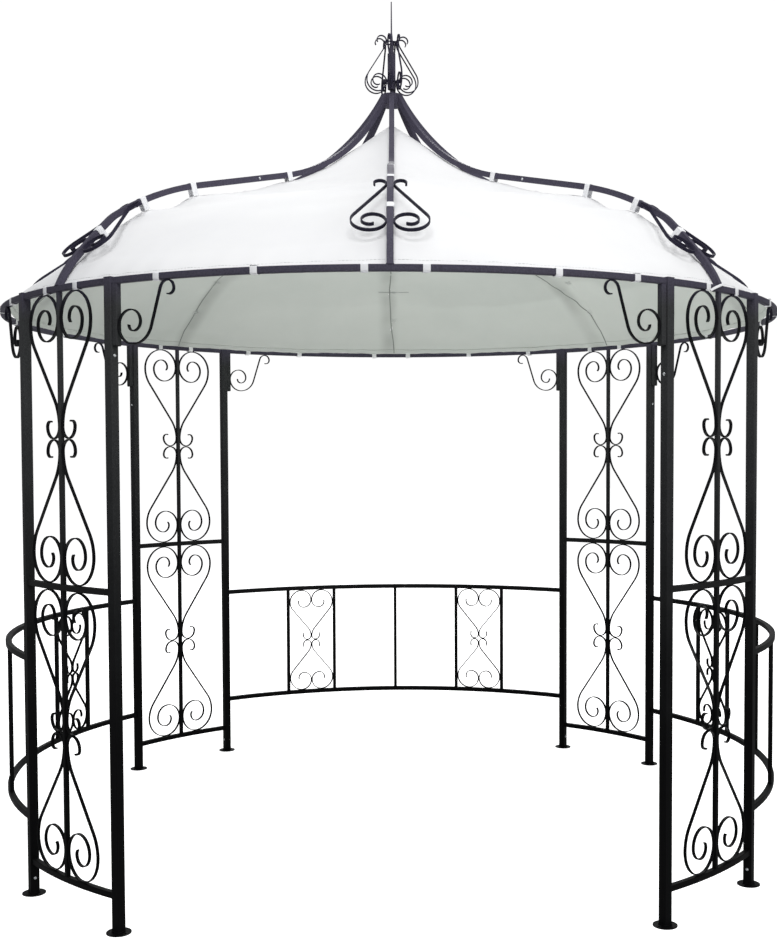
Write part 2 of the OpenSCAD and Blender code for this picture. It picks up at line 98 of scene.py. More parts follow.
# How far under the ribs the canopy hangs, at distances from the axis: close at the ring and near
# the peak, by a finger's width at the straps, and deeper where the seam is slack between them
HANG = ((1.4756, 0.001), (1.425, 0.008), (1.335, 0.020), (1.25, 0.026), (1.172, 0.023),
        (1.07, 0.046), (0.971, 0.027), (0.75, 0.032), (0.540, 0.013), (0.40, 0.007), (0.25, 0.006))
MEAN_HANG = 0.024
SLACK_FROM = 0.75  # distance from the axis beyond which the seams hang slack between their straps
CREASES = (0.0010, 0.0018, 0.0024, 0.0022)  # depth of the creases that run out from rib straps
CREASE_REACH = 0.45
ROUND_RIM = 0.42  # width of the rim in which the canopy turns from round to flat between ribs
GORE_SAG = 0.020  # how deep a gore sags
EDGE_RISE = 0.007  # how far the edge rises midway between two ring straps RING_GAP apart
EDGE_SAG = 0.003  # how far it sags inwards there
RING_GAP = 12.5  # degrees
GATHER = 0.0016  # depth of the gathers along the edge
# Where a seam has slipped aside from its rib: distances in from the edge and degrees
SEAM_SLIPS = {135: ((0.19, 0), (0.27, 1.4), (0.35, 3.0), (0.43, 4.4), (0.56, 4.8), (1.1, 0)),
              180: ((0, 0), (0.24, 0.7), (0.43, 1.0), (0.64, 0.7), (1.1, 0)),
              225: ((0.40, 0), (0.52, 1.8), (0.70, 2.0), (1.1, 0))}


# ---- Places on the frame -----------------------------------------------------------------------

def around(azimuth, distance, z):
    """The point at an azimuth, a distance from the axis and a height."""
    a = math.radians(azimuth)
    return Vector((distance * math.sin(a), -distance * math.cos(a), z))


def ease(f):
    """Smooth rise from 0 to 1 as f rises from 0 to 1."""
    return f * f * (3 - 2 * f)


def rib_underside():
    """Points (distance, height) along the front rib's underside, from the ring inwards."""
    mesh = steel_nodes["rib_front"].data
    rib = BVHTree.FromPolygons([v.co for v in mesh.vertices], [p.vertices for p in mesh.polygons])
    points = []
    for step in range(400):
        distance = 1.472 - 0.003 * step
        if distance < 0.06:
            break
        hit = rib.ray_cast(Vector((0, -distance, 1.0)), Vector((0, 0, 1)))[0]
        points.append((distance, hit.z))
    return points


class Line:
    """A line in the upright plane through the axis, read by the distance along it."""

    def __init__(self, points):
        self.points = points
        self.along = [0.0]
        for (r0, z0), (r1, z1) in zip(points, points[1:]):
            self.along.append(self.along[-1] + math.hypot(r1 - r0, z1 - z0))
        self.length = self.along[-1]

    def at(self, s):
        i = min(max(bisect.bisect_right(self.along, s) - 1, 0), len(self.points) - 2)
        f = (s - self.along[i]) / (self.along[i + 1] - self.along[i])
        (r0, z0), (r1, z1) = self.points[i], self.points[i + 1]
        return r0 + f * (r1 - r0), z0 + f * (z1 - z0)

    def inward(self, s):
        """Unit direction square to the line, down and in towards the axis."""
        (r0, z0), (r1, z1) = self.at(s - 0.012), self.at(s + 0.012)
        length = math.hypot(r1 - r0, z1 - z0)
        return (z0 - z1) / length, (r1 - r0) / length

    def where(self, distance):
        """How far along it the line is at a distance from the axis."""
        for i, (r, _) in enumerate(self.points):
            if r <= distance:
                return self.along[i]
        return self.length


underside = Line(rib_underside())


def rib_place(azimuth, distance):
    """A point of a rib's middle line, the direction up along the rib, and the one out of it."""
    s = underside.where(distance)
    (r, z), (nr, nz) = underside.at(s), underside.inward(s)
    out = around(azimuth, -nr, -nz)
    return around(azimuth, r, z) + out * TUBE / 2, around(azimuth, nz, -nr), out


# ---- Meshes ------------------------------------------------------------------------------------

def new_piece(name, shape, materials, face_material=None):
    """A piece that rides on the frame, finished with the materials given."""
    mesh = bpy.data.meshes.new(name)
    mesh.from_pydata([tuple(v) for v in shape.vertices], [], shape.faces)
    mesh.update()
    piece = bpy.data.objects.new(name, mesh)
    bpy.context.scene.collection.objects.link(piece)
    for material in materials:
        mesh.materials.append(material)
    for i, face in enumerate(mesh.polygons):
        face.use_smooth = True
        if face_material:
            face.material_index = face_material[i]
    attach(piece, "root")
    return piece


class Shape:
    """Vertices and faces of one piece, added to part by part."""

    def __init__(self):
        self.vertices = []
        self.faces = []

    def grid(self, rows, close_rows=False, close_columns=False, turned_over=False):
        """Quads over rows of points, split the same way when they are turned over."""
        start, n, m = len(self.vertices), len(rows), len(rows[0])
        for row in rows:
            self.vertices += row
        for i in range(n if close_rows else n - 1):
            for j in range(m if close_columns else m - 1):
                a, b = start + i * m, start + (i + 1) % n * m
                quad = (a + j, a + (j + 1) % m, b + (j + 1) % m, b + j)
                self.faces.append((quad[0], *quad[:0:-1]) if turned_over else quad)
        return start

    def sweep(self, places, outline, closed=False):
        """An outline of (side, up) pairs carried through places of (point, side, up)."""
        rows = [[point + side * x + up * y for x, y in outline] for point, side, up in places]
        start = self.grid(rows, close_rows=closed, close_columns=True)
        if not closed:
            m = len(outline)
            last = start + (len(rows) - 1) * m
            self.faces.append(tuple(start + j for j in reversed(range(m))))
            self.faces.append(tuple(last + j for j in range(m)))

    def turned(self, matrix, profile, sides=20):
        """A profile of (radius, height) turned about the matrix's Z axis and closed at its ends."""
        rows = []
        for radius, height in profile:
            rows.append([matrix @ Vector((radius * math.cos(2 * math.pi * k / sides),
                                          radius * math.sin(2 * math.pi * k / sides), height))
                         for k in range(sides)])
        start = self.grid(rows, close_columns=True)
        last = start + (len(rows) - 1) * sides
        self.faces.append(tuple(start + j for j in reversed(range(sides))))
        self.faces.append(tuple(last + j for j in range(sides)))


def rounded(width, thickness, edge):
    """Outline of a flat band with rounded edges."""
    x, y, out = width / 2 - edge, thickness / 2 - edge, []
    for k, (sx, sy) in enumerate(((1, -1), (1, 1), (-1, 1), (-1, -1))):
        for turn in (0, 45, 90):
            a = math.radians(90 * k - 90 + turn)
            out.append((sx * x + edge * math.cos(a), sy * y + edge * math.sin(a)))
    return out


def standing(point, up, ahead):
    """Matrix at a point with Z along up and X as near ahead as it can be."""
    z = up.normalized()
    y = z.cross(ahead).normalized()
    x = y.cross(z)
    return Matrix(((x.x, y.x, z.x, point.x), (x.y, y.y, z.y, point.y),
                   (x.z, y.z, z.z, point.z), (0, 0, 0, 1)))


# ---- Materials ---------------------------------------------------------------------------------

def linear(hex_colour):
    """sRGB hex to the linear colour that a shader takes."""
    values = [int(hex_colour[i:i + 2], 16) / 255 for i in (1, 3, 5)]
    return (*(v / 12.92 if v <= 0.04045 else ((v + 0.055) / 1.055) ** 2.4 for v in values), 1.0)


def add(tree, kind, links=None, values=None, **settings):
    """Adds a node with its settings, its input values and its links from other sockets."""
    made = tree.nodes.new(kind)
    for key, value in settings.items():
        setattr(made, key, value)
    for key, value in (values or {}).items():
        made.inputs[key].default_value = value
    for key, socket in (links or {}).items():
        tree.links.new(socket, made.inputs[key])
    return made


def new_material(name):
    material = bpy.data.materials.new(name)
    material.use_nodes = True
    material.node_tree.nodes.clear()
    return material, material.node_tree


def surface(tree, shader):
    add(tree, "ShaderNodeOutputMaterial", {"Surface": shader.outputs["BSDF"]})


def powder_coat(name, foot, waist, roof, roughness, peel_mm):
    """Polyester powder baked on steel: a satin black skin with a fine orange peel. Its colour is
    painted lighter with height, in cloudy patches, as painted light, and from the ring up it
    turns a faint violet, a painted reflection of bluish light."""
    material, tree = new_material(name)
    place = add(tree, "ShaderNodeTexCoord").outputs["Object"]
    height = add(tree, "ShaderNodeSeparateXYZ", {"Vector": place}).outputs["Z"]
    cloud = add(tree, "ShaderNodeTexNoise", {"Vector": place},
                {"Scale": 7.0, "Detail": 4.0, "Roughness": 0.6})
    speck = add(tree, "ShaderNodeTexNoise", {"Vector": place},
                {"Scale": 1000 / (3 * peel_mm), "Detail": 2.0})
    # Painted light: the colour is painted lighter with height, near black low down and grey higher
    # up, in cloudy patches.
    patchy_height = add(tree, "ShaderNodeMath", {1: cloud.outputs["Fac"], 2: height}, {0: 0.5},
                    operation="MULTIPLY_ADD")
    painted_light_mask = add(tree, "ShaderNodeMapRange", {"Value": patchy_height.outputs[0]},
                 {"From Min": 0.75, "From Max": 2.45}, interpolation_type="SMOOTHSTEP")
    # Painted reflection: from the ring's height up the colour turns violet grey, for bluish light
    # mirrored in the coat.
    painted_reflection_mask = add(tree, "ShaderNodeMapRange", {"Value": height},
                 {"From Min": 1.93, "From Max": 2.02})
    body = add(tree, "ShaderNodeMix", {"Factor": painted_light_mask.outputs[0]},
               {"A": linear(foot), "B": linear(waist)}, data_type="RGBA")
    painted_light_colour = add(tree, "ShaderNodeMix", {"Factor": painted_reflection_mask.outputs[0], "A": body.outputs["Result"]},
               {"B": linear(roof)}, data_type="RGBA")
    grain = add(tree, "ShaderNodeMapRange", {"Value": speck.outputs["Fac"]},
                {"From Min": 0.3, "From Max": 0.7, "To Min": 0.8, "To Max": 1.2})
    colour = add(tree, "ShaderNodeVectorMath",
                 {0: painted_light_colour.outputs["Result"], "Scale": grain.outputs[0]}, operation="SCALE")
    gloss = add(tree, "ShaderNodeMapRange", {"Value": cloud.outputs["Fac"]},
                {"From Min": 0.3, "From Max": 0.7, "To Min": roughness - 0.05,
                 "To Max": roughness + 0.07})
    edge = add(tree, "ShaderNodeBevel", values={"Radius": 0.0008}, samples=4)
    peel = add(tree, "ShaderNodeTexNoise", {"Vector": place},
               {"Scale": 1000 / peel_mm, "Detail": 1.0})
    bump = add(tree, "ShaderNodeBump", {"Height": peel.outputs["Fac"], "Normal": edge.outputs[0]},
               {"Strength": 0.25, "Distance": 0.0002})
    surface(tree, add(tree, "ShaderNodeBsdfPrincipled",
                      {"Base Color": colour.outputs["Vector"], "Roughness": gloss.outputs[0],
                       "Normal": bump.outputs[0]},
                      {"Specular IOR Level": 0.06, "IOR": 1.5}))
    return material


def zinc_plate(name, bright, dull):
    """Zinc-plated steel screw heads: bright and smooth, with faint cloudy passivation."""
    material, tree = new_material(name)
    place = add(tree, "ShaderNodeTexCoord").outputs["Object"]
    cloud = add(tree, "ShaderNodeTexNoise", {"Vector": place}, {"Scale": 400.0, "Detail": 3.0})
    colour = add(tree, "ShaderNodeMix", {"Factor": cloud.outputs["Fac"]},
                 {"A": linear(bright), "B": linear(dull)}, data_type="RGBA")
    gloss = add(tree, "ShaderNodeMapRange", {"Value": cloud.outputs["Fac"]},
                {"To Min": 0.25, "To Max": 0.42})
    surface(tree, add(tree, "ShaderNodeBsdfPrincipled",
                      {"Base Color": colour.outputs["Result"], "Roughness": gloss.outputs[0]},
                      {"Metallic": 1.0}))
    return material


def moulded_plastic(name, dark, pale):
    """Injection-moulded black polyethylene plugs: dull, with a fine spark-eroded grain."""
    material, tree = new_material(name)
    place = add(tree, "ShaderNodeTexCoord").outputs["Object"]
    grain = add(tree, "ShaderNodeTexNoise", {"Vector": place}, {"Scale": 1200.0, "Detail": 2.0})
    colour = add(tree, "ShaderNodeMix", {"Factor": grain.outputs["Fac"]},
                 {"A": linear(dark), "B": linear(pale)}, data_type="RGBA")
    bump = add(tree, "ShaderNodeBump", {"Height": grain.outputs["Fac"]},
               {"Strength": 0.3, "Distance": 0.0001})
    surface(tree, add(tree, "ShaderNodeBsdfPrincipled",
                      {"Base Color": colour.outputs["Result"], "Normal": bump.outputs[0]},
                      {"Roughness": 0.6, "Specular IOR Level": 0.3, "IOR": 1.5}))
    return material


def under_ribs(tree, place, cloth, depth):
    """Cloth that is up to depth darker from inside, in patches along each rib that keeps the light
    off it. The light comes from the front right, so the band lies behind and left of the rib."""
    moved = add(tree, "ShaderNodeVectorMath", {0: place}, {1: (0.03, -0.055, 0)}, operation="ADD")
    flat = add(tree, "ShaderNodeVectorMath", {0: moved.outputs[0]}, {1: (1, 1, 0)},
               operation="MULTIPLY")
    distance = add(tree, "ShaderNodeVectorMath", {0: flat.outputs[0]}, operation="LENGTH")
    parts = add(tree, "ShaderNodeSeparateXYZ", {"Vector": flat.outputs[0]})
    turn = add(tree, "ShaderNodeMath", {0: parts.outputs["X"], 1: parts.outputs["Y"]},
               operation="ARCTAN2")
    off_rib = add(tree, "ShaderNodeMath", {0: turn.outputs[0]}, {1: math.radians(HALF_GORE)},
                  operation="PINGPONG")
    across = add(tree, "ShaderNodeMath", {0: off_rib.outputs[0], 1: distance.outputs["Value"]},
                 operation="MULTIPLY")
    band = add(tree, "ShaderNodeMapRange", {"Value": across.outputs[0]},
               {"From Min": 0.004, "From Max": 0.06, "To Min": depth, "To Max": 0.0},
               interpolation_type="SMOOTHSTEP")
    cloud = add(tree, "ShaderNodeTexNoise", {"Vector": place}, {"Scale": 5.0, "Detail": 2.0})
    patch = add(tree, "ShaderNodeMapRange", {"Value": cloud.outputs["Fac"]},
                {"From Min": 0.35, "From Max": 0.65, "To Min": 0.35, "To Max": 1.0})
    shade = add(tree, "ShaderNodeMath", {0: band.outputs[0], 1: patch.outputs[0]},
                operation="MULTIPLY")
    lit = add(tree, "ShaderNodeMath", {1: shade.outputs[0]}, {0: 1.0}, operation="SUBTRACT")
    return add(tree, "ShaderNodeVectorMath", {0: cloth, "Scale": lit.outputs[0]},
               operation="SCALE").outputs["Vector"]


def woven_polyester(name, pale, shade, roughness, thread_mm, sheen, rib_shade=0.0):
    """Plain-weave polyester: matt, with a faint thread relief and a soft sheen at grazing angles.
    Threads of half a millimetre don't show from here, so they are drawn as coarse as thread_mm."""
    material, tree = new_material(name)
    place = add(tree, "ShaderNodeTexCoord").outputs["Object"]
    cloud = add(tree, "ShaderNodeTexNoise", {"Vector": place},
                {"Scale": 1.7, "Detail": 5.0, "Roughness": 0.62})
    share = add(tree, "ShaderNodeMapRange", {"Value": cloud.outputs["Fac"]},
                {"From Min": 0.35, "From Max": 0.7})
    colour = add(tree, "ShaderNodeMix", {"Factor": share.outputs[0]},
                 {"A": linear(pale), "B": linear(shade)}, data_type="RGBA")
    cloth = colour.outputs["Result"]
    if rib_shade:
        cloth = under_ribs(tree, place, cloth, rib_shade)
    weave_scale = 1000 / thread_mm * math.pi / 10
    warp = add(tree, "ShaderNodeTexWave", {"Vector": place}, {"Scale": weave_scale},
               bands_direction="X")
    weft = add(tree, "ShaderNodeTexWave", {"Vector": place}, {"Scale": weave_scale},
               bands_direction="Y")
    weave = add(tree, "ShaderNodeMath", {0: warp.outputs["Fac"], 1: weft.outputs["Fac"]},
                operation="MULTIPLY")
    bump = add(tree, "ShaderNodeBump", {"Height": weave.outputs[0]},
               {"Strength": 0.12, "Distance": 0.0004})
    surface(tree, add(tree, "ShaderNodeBsdfPrincipled",
                      {"Base Color": cloth, "Normal": bump.outputs[0]},
                      {"Roughness": roughness, "Specular IOR Level": 0.25, "IOR": 1.5,
                       "Sheen Weight": sheen, "Sheen Roughness": 0.5}))
    return material


tube_coat = powder_coat("black_powder_coated_steel_tube", "#0b0b0c", "#3f4041", "#4d4a58", 0.46,
                        1.6)
bar_coat = powder_coat("black_powder_coated_flat_bar", "#070709", "#18181b", "#2d2b3a", 0.42, 1.2)
fabric_top = woven_polyester("white_polyester_canopy_top", "#f6f6f6", "#f0f0f1", 0.86, 3.0, 0.12)
# Painted shade: the underside is painted darker than the top, for the shaded inner side of the same
# cloth.
fabric_under = woven_polyester("polyester_canopy_underside_painted_shade", "#cfd3cd", "#c6cbc5", 0.8, 3.0,
                               0.06, rib_shade=0.25)
# Painted shade: the inner seam strips are painted grey, for the doubled cloth letting less light
# through.
seam_painted_shade = woven_polyester("grey_seam_painted_shade", "#8d928c", "#7f847e", 0.85, 2.0, 0.05)
strap_webbing = woven_polyester("white_polyester_webbing", "#fbfbfc", "#eeeff2", 0.82, 2.0, 0.2)
stitch_thread = woven_polyester("grey_polyester_thread", "#83878a", "#6f7377", 0.7, 1.0, 0.1)
white_thread = woven_polyester("white_polyester_thread", "#dfe1e0", "#d0d4d1", 0.7, 1.0, 0.1)
screw_zinc = zinc_plate("zinc_plated_steel_screws", "#e6e8ea", "#c4c8cc")
plug_plastic = moulded_plastic("black_moulded_tube_plugs", "#0c0c0d", "#151517")

SCROLL_WORK = ("scrolls", "hearts")
for node_name, node in steel_nodes.items():
    node.data.materials.clear()
    is_scroll = any(word in node_name for word in SCROLL_WORK)
    node.data.materials.append(bar_coat if is_scroll else tube_coat)


# ---- Canopy ------------------------------------------------------------------------------------

def between(marks, value):
    """How far value is into its gap between two marks, from 0 to 1, and the gap's width."""
    i = min(max(bisect.bisect_right(marks, value) - 1, 0), len(marks) - 2)
    gap = marks[i + 1] - marks[i]
    return min(max((value - marks[i]) / gap, 0), 1), gap


def hang(distance):
    """How far under a rib the canopy hangs at a distance from the axis."""
    for (r0, h0), (r1, h1) in zip(HANG, HANG[1:]):
        if distance >= r1:
            f = min(1, (r0 - distance) / (r0 - r1))
            return h0 + (h1 - h0) * ease(f)
    return HANG[-1][1]


def even_hang(s):
    """How far under a rib the canopy would hang if it hung evenly, a distance s in from its
    edge."""
    return min(MEAN_HANG, 0.006 + 0.2 * s)


def meridian_points():
    """The canopy's line under a rib as it would run if it hung evenly, from its edge to its
    peak."""
    points = [CANOPY_EDGE]
    leave = underside.where(HANG[-1][0])  # from there the canopy runs straight to its peak
    s = 0.03
    while s < leave:
        (r, z), (nr, nz) = underside.at(s), underside.inward(s)
        even = even_hang(s) if r > SLACK_FROM else hang(r)
        points.append((r + nr * even, z + nz * even))
        s += 0.008
    r0, z0 = points[-1]
    for k in range(1, 31):
        points.append((r0 * (1 - k / 30), z0 + (CANOPY_PEAK - z0) * k / 30))
    for _ in range(6):  # each round rounds the line off a little more
        inner = [((a[0] + 2 * b[0] + c[0]) / 4, (a[1] + 2 * b[1] + c[1]) / 4)
                 for a, b, c in zip(points, points[1:], points[2:])]
        points = [points[0]] + inner + [points[-1]]
    return points


meridian = Line(meridian_points())
tie_along = [meridian.where(r) for r in RIB_TIES]
ring_marks = [RING_TIES[-1] - 90, *RING_TIES, RING_TIES[0] + 90]


def folds(across, along, depth, seed):
    """Creases that run out from a strap, at a place beside it."""
    reach = math.hypot(across, along)
    if reach > CREASE_REACH:
        return 0
    turn = math.atan2(along, abs(across) + 0.004)
    crease = math.cos(7 * turn + seed) + 0.6 * math.cos(12 * turn + 2.3 * seed)
    return depth * crease * math.exp(-reach / 0.11) * (1 - math.exp(-reach / 0.03))


def sheet_point(azimuth, s):
    """A point of the canopy's middle surface, a distance s in from its edge."""
    rib = math.floor((azimuth + HALF_GORE) / 45) % 8
    aside = (azimuth + HALF_GORE) % 45 - HALF_GORE
    from_rib = abs(aside) / HALF_GORE
    off_middle = math.radians(HALF_GORE * (1 - from_rib))
    # the edge rises between the ring's straps
    u, gap = between(ring_marks, azimuth % 90)
    pull = 4 * u * (1 - u) * (gap / RING_GAP) ** 2
    s_true = s + EDGE_RISE * pull * math.exp(-s / 0.05)
    r, z = meridian.at(s_true)
    nr, nz = meridian.inward(min(max(s_true, 0.02), meridian.length - 0.02))
    # round at the ring, flat from rib to rib above it
    flat = ease(min(1, s / ROUND_RIM))
    chord = 1 - flat * (1 - math.cos(math.radians(HALF_GORE)) / math.cos(off_middle))
    # the seam hangs between the straps on its rib, and each gore sags a little
    seam_share = (1 - from_rib) ** 2.2
    inwards = (hang(r) - even_hang(s)) * seam_share if r > SLACK_FROM else 0
    share = s / meridian.length
    inwards += GORE_SAG * math.sin(math.pi * min(1, share * 1.05)) ** 2 * (1 - seam_share)
    # creases from the straps, and gathers along the edge
    across = math.radians(aside) * r
    for k, tie in enumerate(tie_along):
        if abs(s - tie) < CREASE_REACH:
            inwards += folds(across, s - tie, CREASES[k],
                             1.7 * k + 2.1 * rib + (0.8 if aside > 0 else 0))
    inwards += EDGE_SAG * pull * math.exp(-s / 0.12)
    edge_wave = math.cos(math.radians(azimuth) * 96 + 2 * math.sin(math.radians(azimuth) * 7))
    inwards += GATHER * edge_wave * (0.4 + pull) * math.exp(-s / 0.10)
    point = around(azimuth, r * chord, z)
    # what is left is the uneven slack of the cloth, none of it at the edge and the peak
    slack = noise.noise(point * 2.6) * 0.006 + noise.noise(point * 7.5 + Vector((3, 1, 7))) * 0.0022
    inwards += slack * min(1, s / 0.1) * min(1, (meridian.length - s) / 0.3)
    return point + around(azimuth, nr * inwards, nz * inwards)


def sheet_normal(azimuth, s):
    """Outward direction square to the canopy."""
    step = 0.004
    s0, s1 = max(s - step, 0), min(s + step, meridian.length - 0.002)
    a = math.degrees(step / max(meridian.at(s)[0], 0.02))
    across = sheet_point(azimuth + a, s) - sheet_point(azimuth - a, s)
    up = sheet_point(azimuth, s1) - sheet_point(azimuth, s0)
    return across.cross(up).normalized()


def canopy_rows():
    """Distances in from the edge of the canopy's rows, close together near the edge."""
    rows, s = [0.0, 0.0015], 0.006
    while s < meridian.length - 0.02:
        rows.append(s)
        s += 0.008 + 0.012 * min(1, s / 0.3)
    return rows + [meridian.length - 0.012]


def make_canopy():
    """One sheet with an upper and an under face, closed round its edge and at its peak."""
    columns = [360 * k / COLUMNS for k in range(COLUMNS)]
    rows = canopy_rows()
    upper, lower = [], []
    for s in rows:
        places = [(sheet_point(a, s), sheet_normal(a, s)) for a in columns]
        upper.append([p + n * HALF_CLOTH for p, n in places])
        lower.append([p - n * HALF_CLOTH for p, n in places])
    shape = Shape()
    top = shape.grid(upper, close_columns=True)
    top_faces = len(shape.faces)
    under = shape.grid(lower, close_columns=True, turned_over=True)
    n = len(columns)
    peak = Vector((0, 0, CANOPY_PEAK))
    shape.vertices += [peak + Vector((0, 0, HALF_CLOTH)), peak - Vector((0, 0, HALF_CLOTH))]
    high, low = len(shape.vertices) - 2, len(shape.vertices) - 1
    last = (len(rows) - 1) * n
    kinds = [0] * top_faces + [1] * (len(shape.faces) - top_faces)
    for j in range(n):
        k = (j + 1) % n
        shape.faces.append((top + last + j, top + last + k, high))
        shape.faces.append((under + last + k, under + last + j, low))
        shape.faces.append((top + k, top + j, under + j, under + k))
        kinds += [0, 1, 0]
    return new_piece("canopy_sheet", shape, [fabric_top, fabric_under], kinds)


canopy = make_canopy()
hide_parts("canopy")


def layer_on_sheet(shape, lines, low, high):
    """A thin slab on the canopy, over rows of (azimuth, s) places, from one height above its
    middle surface to another."""
    top, under = [], []
    for line in lines:
        places = [(sheet_point(a, s), sheet_normal(a, s)) for a, s in line]
        top.append([p + n * high for p, n in places])
        under.append([p + n * low for p, n in places])
    ring = [t + list(reversed(u)) for t, u in zip(top, under)]
    start = shape.grid(ring, close_columns=True)
    m = len(ring[0])
    last = start + (len(ring) - 1) * m
    half = m // 2
    for j in range(half - 1):
        shape.faces.append((start + j + 1, start + j, start + m - 1 - j, start + m - 2 - j))
        shape.faces.append((last + j, last + j + 1, last + m - 2 - j, last + m - 1 - j))


def seam_azimuth(rib, s):
    """Where the seam under a rib runs, a distance s in from the edge."""
    marks = SEAM_SLIPS.get(rib, ((0, 0), (1, 0)))
    for (s0, a0), (s1, a1) in zip(marks, marks[1:]):
        if s <= s1:
            f = min(max((s - s0) / (s1 - s0), 0), 1)
            return rib + a0 + (a1 - a0) * ease(f)
    return rib


def seam_row(rib, s, width):
    """Four places across a band of that width on a seam."""
    a = math.degrees(width / 2 / max(meridian.at(s)[0], 0.012))
    return [(seam_azimuth(rib, s) + a * f, s) for f in (-1, -0.33, 0.33, 1)]


def make_seams():
    """The seam under each rib: inside, a strip whose grey is painted shade for the doubled cloth
    that lets less light through, and outside, the fold of the seam.
    """
    inside, outside = Shape(), Shape()
    stops = [0.004 + 0.012 * k for k in range(int((meridian.length - 0.03) / 0.012))]
    for rib in RIB_AZIMUTHS:
        layer_on_sheet(inside, [seam_row(rib, s, 0.005) for s in stops], -0.0018, -0.0004)
        layer_on_sheet(outside, [seam_row(rib, s, 0.012) for s in stops], 0.0003, 0.0012)
    return [new_piece("canopy_inner_seam_strips", inside, [seam_painted_shade]),
            new_piece("canopy_seam_folds", outside, [fabric_top])]


def make_hem():
    """The edge turned in and sewn down with a row of stitches that shows on both sides."""
    hem, thread = Shape(), Shape()
    columns = [360 * k / COLUMNS for k in range(COLUMNS + 1)]
    layer_on_sheet(hem, [[(a, s) for s in (0, 0.006, 0.013, 0.020, 0.025)] for a in columns],
                   -0.0013, -0.0005)
    steps = 2400  # every third one is the gap between two stitches
    stitches = [360 * k / steps for k in range(steps + 1)]
    for i in range(0, steps, 3):
        for low, high in ((0.0004, 0.0010), (-0.0017, -0.0011)):
            layer_on_sheet(thread, [[(a, 0.0215), (a, 0.0226)] for a in stitches[i:i + 3]],
                           low, high)
    return [new_piece("canopy_hem", hem, [fabric_under]),
            new_piece("hem_stitching", thread, [white_thread])]


seams = make_seams()
hems = make_hem()


# ---- Straps ------------------------------------------------------------------------------------

STRAP_WIDTH = 0.022
STRAP_THICK = 0.0014
STRAP_GAP = 0.0004  # between a strap and its tube
RING_STRAP_DROP = 0.0024


def strap_path(drop):
    """The strap's middle line round a tube, as (across, up) pairs: from under the tube, round it,
    and on over its own start. drop is the slack under the tube."""
    a = TUBE / 2 + STRAP_GAP + STRAP_THICK / 2
    low = -TUBE / 2 - drop + STRAP_THICK / 2 + STRAP_GAP
    corner = 0.0035
    points = []

    def arc(cx, cy, start, stop, n=4):
        for k in range(n + 1):
            t = math.radians(start + (stop - start) * k / n)
            points.append((cx + corner * math.cos(t), cy + corner * math.sin(t)))

    points.append((a, low + 0.012))
    arc(a - corner, a - corner, 0, 90)
    arc(-a + corner, a - corner, 90, 180)
    arc(-a + corner, low + corner, 180, 270)
    arc(a - corner + STRAP_THICK, low + corner, 270, 360)
    points.append((a + STRAP_THICK * 1.05, low + 0.016))
    points.append((a + STRAP_THICK * 1.10, a - 0.006))
    points.append((a + STRAP_THICK * 1.9, a + 0.001))
    return points


def make_strap(shape, point, along, up, drop, chance):
    """A strap round a tube that runs along, with the canopy on the side away from up."""
    along = along.normalized()
    across = up.cross(along).normalized()
    skew = math.radians(chance.uniform(-4, 4))
    along = (along * math.cos(skew) + across * math.sin(skew)).normalized()
    if chance.random() < 0.5:
        across = -across
    path = [point + across * x + up * y for x, y in strap_path(drop)]
    places = []
    for i, p in enumerate(path):
        ahead = (path[min(i + 1, len(path) - 1)] - path[max(i - 1, 0)]).normalized()
        places.append((p, along, ahead.cross(along).normalized()))
    shape.sweep(places, rounded(STRAP_WIDTH, STRAP_THICK, 0.0005))


def make_tie_end(shape):
    """The loose end of the strap beside the front right rib, crossed over the rib's foot. Its
    points are (azimuth, past the ring's middle line, above the ring's middle)."""
    marks = ((42.55, 0.0126, -0.0115), (43.1, 0.0128, -0.005), (43.7, 0.0134, 0.001),
             (44.4, 0.0144, 0.0075), (45.1, 0.0142, 0.013), (45.75, 0.0105, 0.0175),
             (46.15, 0.003, 0.0195), (46.5, -0.006, 0.0185))
    path = [around(azimuth, PLAN + out, RING_Z + up) for azimuth, out, up in marks]
    places = []
    for i, (azimuth, out, _) in enumerate(marks):
        ahead = (path[min(i + 1, len(path) - 1)] - path[max(i - 1, 0)]).normalized()
        face = around(azimuth, 1, 0.25 + 40 * max(0.0134 - out, 0)).normalized()
        across = ahead.cross(face).normalized()
        places.append((path[i], across, across.cross(ahead).normalized()))
    shape.sweep(places, rounded(0.008, 0.0010, 0.0004))


def make_straps():
    shape, chance = Shape(), random.Random(4)
    for azimuth in RIB_AZIMUTHS:
        for distance in RIB_TIES:
            point, along, up = rib_place(azimuth, distance)
            make_strap(shape, point, along, up, hang(distance) - HALF_CLOTH, chance)
    for quarter in QUARTERS:
        for tie in RING_TIES:
            a = quarter + tie
            make_strap(shape, around(a, PLAN, RING_Z), around(a + 90, 1, 0), around(a, 1, 0),
                       RING_STRAP_DROP, chance)
    make_tie_end(shape)
    return new_piece("canopy_tie_straps", shape, [strap_webbing])


straps = make_straps()
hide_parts("canopy_straps")


BOX_HALF = (0.012, 0.010)  # half the stitched box, across and along the seam
LONG_ROW = 6.4  # half the long row, in half boxes
UNDER_FACE = -0.0016  # where the stitches' upper side lies, under the canopy's middle surface


def stitch_row(shape, azimuth, distance, start, stop, count, half):
    """A row of thread in count pieces, twice half wide, between two places given in half boxes
    across and along from a rib strap's middle."""
    (x0, y0), (x1, y1) = start, stop
    length = math.hypot(x1 - x0, y1 - y0)
    sx, sy = (y1 - y0) / length * half, -(x1 - x0) / length * half
    degrees = math.degrees(1 / distance)
    middle_s = meridian.where(distance)
    rows = []
    for k in range(count + 1):
        x = (x0 + (x1 - x0) * k / count) * BOX_HALF[0]
        y = (y0 + (y1 - y0) * k / count) * BOX_HALF[1]
        rows.append([(azimuth + (x + sx * e) * degrees, middle_s + y + sy * e)
                     for e in (-1, 0, 1)])
    layer_on_sheet(shape, rows, UNDER_FACE - half * 1.5, UNDER_FACE)


